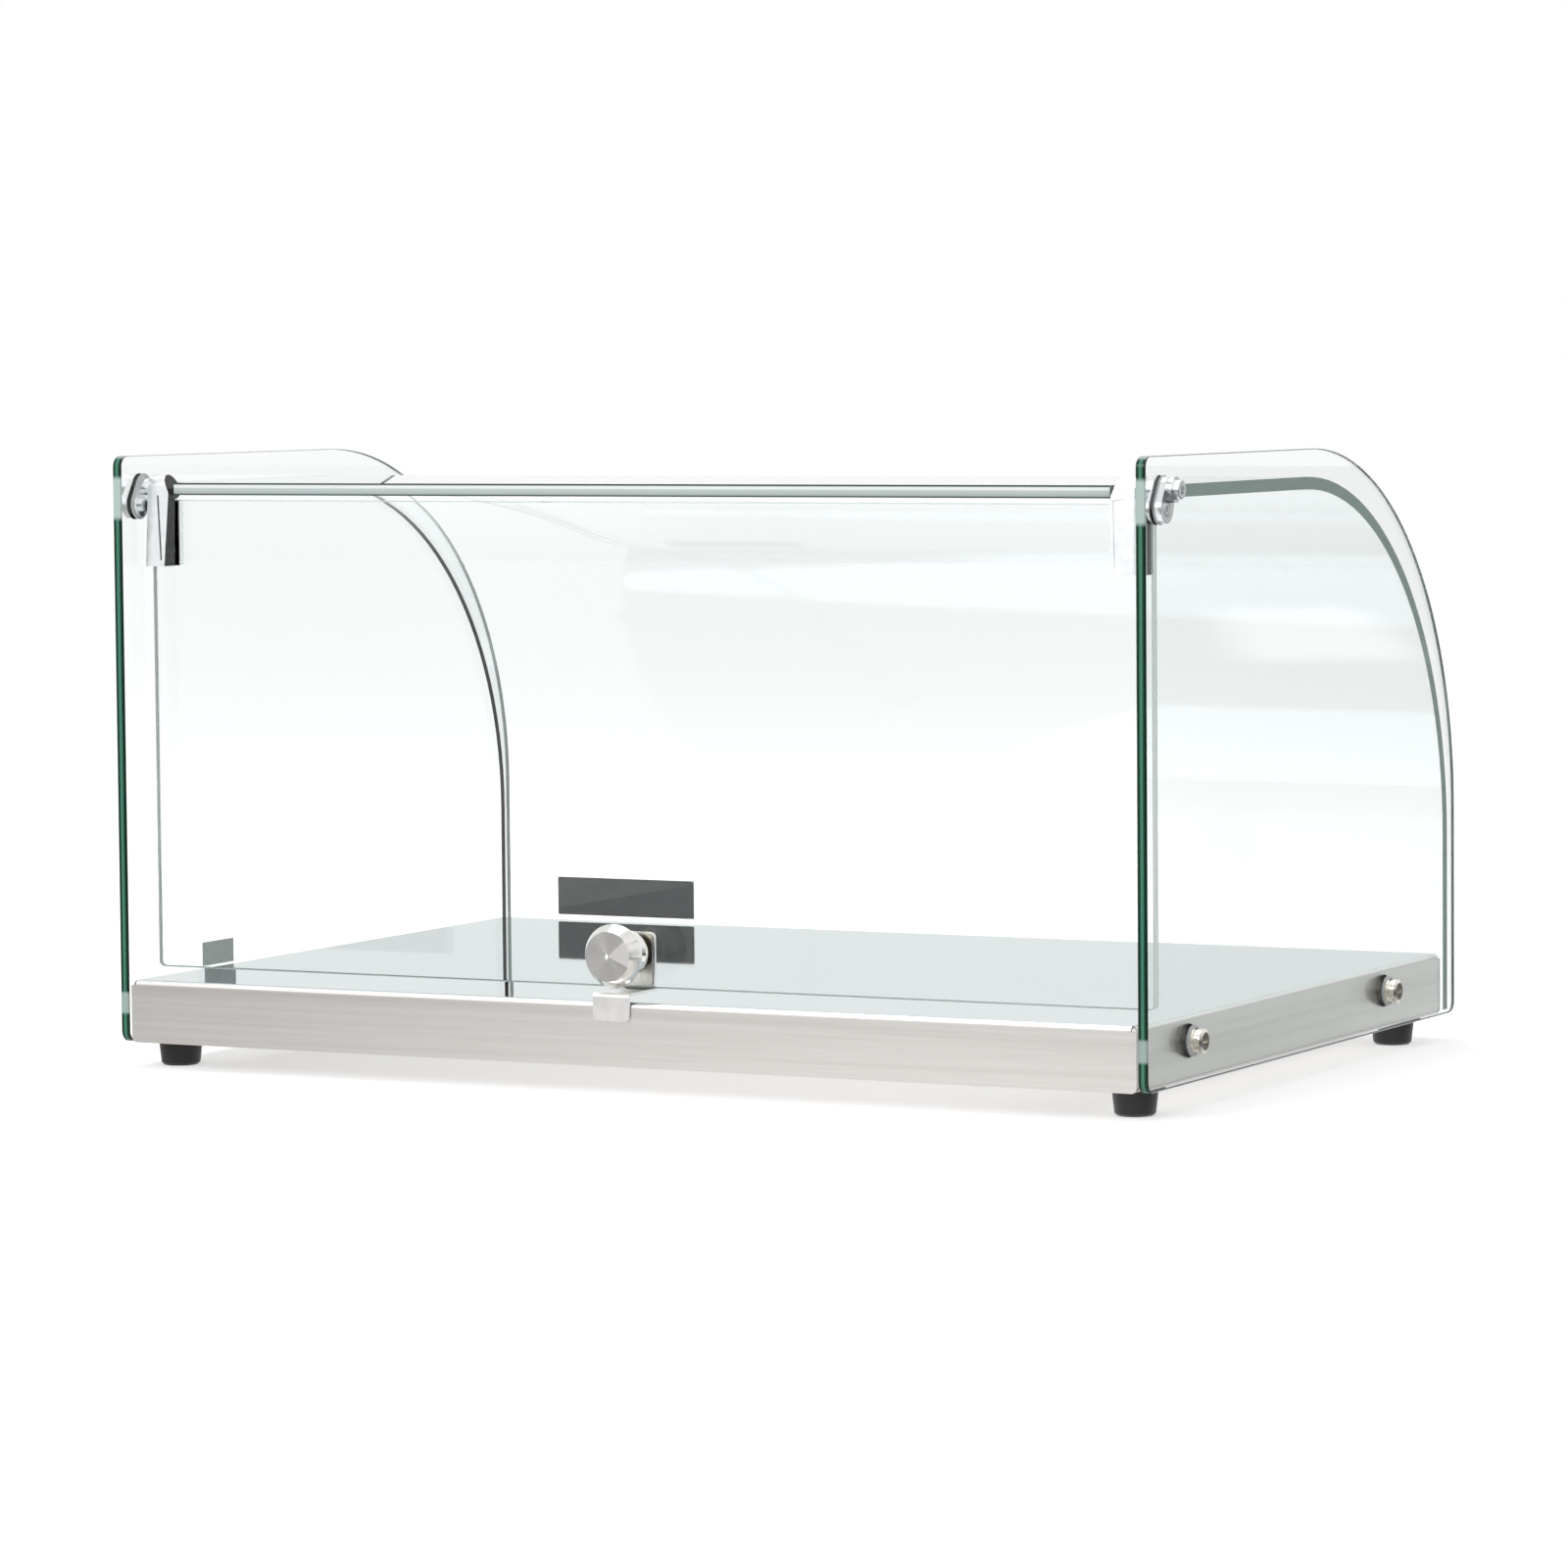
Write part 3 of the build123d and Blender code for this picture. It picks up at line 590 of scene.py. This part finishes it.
# The knob is turned from bar, and its flanks are polished. Its face was cut in a fine spiral, so it throws
# wedges of light and dark round its middle: here they are painted light and painted shade, a colour by the
# angle in degrees, from the right and through the top.
knob_low, knob_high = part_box("knob")
knob_x = (knob_low[0] + knob_high[0]) / 2
knob_z = (knob_low[2] + knob_high[2]) / 2
knob_face_radius = 11.9 * mm
painted_face_wedges = (
    (-180, 0.66), (-140, 0.62), (-105, 0.52), (-75, 0.50), (-45, 0.58), (-26, 0.52), (-20, 0.98),
    (10, 1.0), (38, 0.98), (44, 0.62), (80, 0.56), (115, 0.70), (150, 0.60), (180, 0.66),
)


def turned(wire):
    x, y, z = wire.place().parts()
    across = x - knob_x
    up = z - knob_z
    radius = (across * across + up * up).root()
    face = (wire.facing()[1] < -0.9) * (radius < knob_face_radius)
    angle = across.math("ARCTAN2", up, across) / math.tau + 0.5
    stops = []
    for degrees, shade in painted_face_wedges:
        stops.append((degrees / 360 + 0.5, tint(shade, 0.985 * shade, 0.965 * shade)))
    across_rings = {"W": radius / mm, "Scale": 7.0, "Detail": 2.0}
    rings = wire.node("TexNoise", {"noise_dimensions": "1D"}, across_rings)
    # The face takes the painted light and shade of the wedges, with rings of tone.
    painted_wedges = (rings * 0.2).blend(angle.ramp(*stops), grey(0.6))
    colour = face.blend(tint(0.84, 0.82, 0.79), painted_wedges)
    return colour, number(face, 0.09, 0.26), wire.bump(rings * face, 0.12, 0.0002)


dress(bare_metal("turned_steel", turned), "knob")


# The clip is a bent strip of polished steel. Its plate lies inside the door on a rubber pad, its shelf
# runs under the door's lower edge, and its tab hangs outside the base and stops the door.
def polished(wire):
    smear = wire.noise(wire.place(), 8.0 * mm, 3.0)
    colour = smear.step(0.3, 0.7).blend(tint(0.88, 0.87, 0.85), tint(0.95, 0.94, 0.93))
    return colour, smear * 0.08 + 0.22, None


dress(bare_metal("polished_strip", polished), "door_clip")


# The collar between the knob and the door is turned brass, a little tarnished. The knob's screw comes
# from inside the case, through clip, pad, glass and collar, and draws them together.
def brass(wire):
    tarnish = wire.noise(wire.place(), 2.5 * mm, 3.0)
    colour = tarnish.step(0.3, 0.8).blend(tint(0.66, 0.54, 0.34), tint(0.86, 0.77, 0.56))
    return colour, tarnish * 0.1 + 0.1, None


dress(bare_metal("brass_collar", brass), "knob_collar")


# A plain dark bar is stuck on the outside of the bent glass, low down, and a plain grey label on the
# inside of the left side glass. Both are bare vinyl with nothing printed on them.
vinyl_thickness = 0.12 * mm


def rounded(low, high, corner, steps=6):
    """Corner points of a rounded rectangle in two dimensions."""
    centres = [(high[0] - corner, high[1] - corner), (low[0] + corner, high[1] - corner)]
    centres += [(low[0] + corner, low[1] + corner), (high[0] - corner, low[1] + corner)]
    points = []
    for quarter, (across, up) in enumerate(centres):
        for i in range(steps + 1):
            angle = math.pi / 2 * (quarter + i / steps)
            points.append((across + corner * math.cos(angle), up + corner * math.sin(angle)))
    return points


def vinyl(name, outline, outwards, colour, roughness):
    """A thin plate from its corner points, with its thickness along the outwards direction."""
    mesh = bpy.data.meshes.new(name)
    count = len(outline)
    far = [tuple(Vector(point) + vinyl_thickness * Vector(outwards)) for point in outline]
    ends = [tuple(range(count))[::-1], tuple(range(count, 2 * count))]
    walls = [(i, (i + 1) % count, (i + 1) % count + count, i + count) for i in range(count)]
    mesh.from_pydata(outline + far, [], ends + walls)
    mesh.update()
    plate = bpy.data.objects.new(name, mesh)
    bpy.context.scene.collection.objects.link(plate)
    material = bpy.data.materials.new(name + "_vinyl")
    mesh.materials.append(material)
    wire, output = start(material)
    speck = wire.noise(wire.place(), 3.0 * mm, 3.0)
    pale = tuple(1.2 * channel for channel in colour[:3]) + (1.0,)
    surface = wire.node("BsdfPrincipled", {}, {
        "Base Color": speck.step(0.2, 0.8).blend(colour, pale),
        "Roughness": speck * 0.1 + roughness,
        "Normal": wire.bump(speck, 0.03, 0.0001),
    })
    material.node_tree.links.new(surface.socket, output.inputs["Surface"])
    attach(plate, "case")


bar_low = (-0.240, 0.046)
bar_high = (-0.156, 0.0665)
bar_corner = 0.8 * mm
bar_front = bent_high[1] + 0.01 * mm
bar_outline = [(x, bar_front, z) for x, z in rounded(bar_low, bar_high, bar_corner)]
vinyl("front_bar", bar_outline[::-1], (0, 1, 0), tint(0.004, 0.005, 0.005), 0.5)
label_low = (-0.121, 0.0445)
label_high = (-0.092, 0.0565)
label_corner = 0.4 * mm
label_face = -side_low[0] + 0.02 * mm
label_outline = [(label_face, y, z) for y, z in rounded(label_low, label_high, label_corner)]
vinyl("side_label", label_outline, (1, 0, 0), tint(0.42, 0.45, 0.44), 0.4)
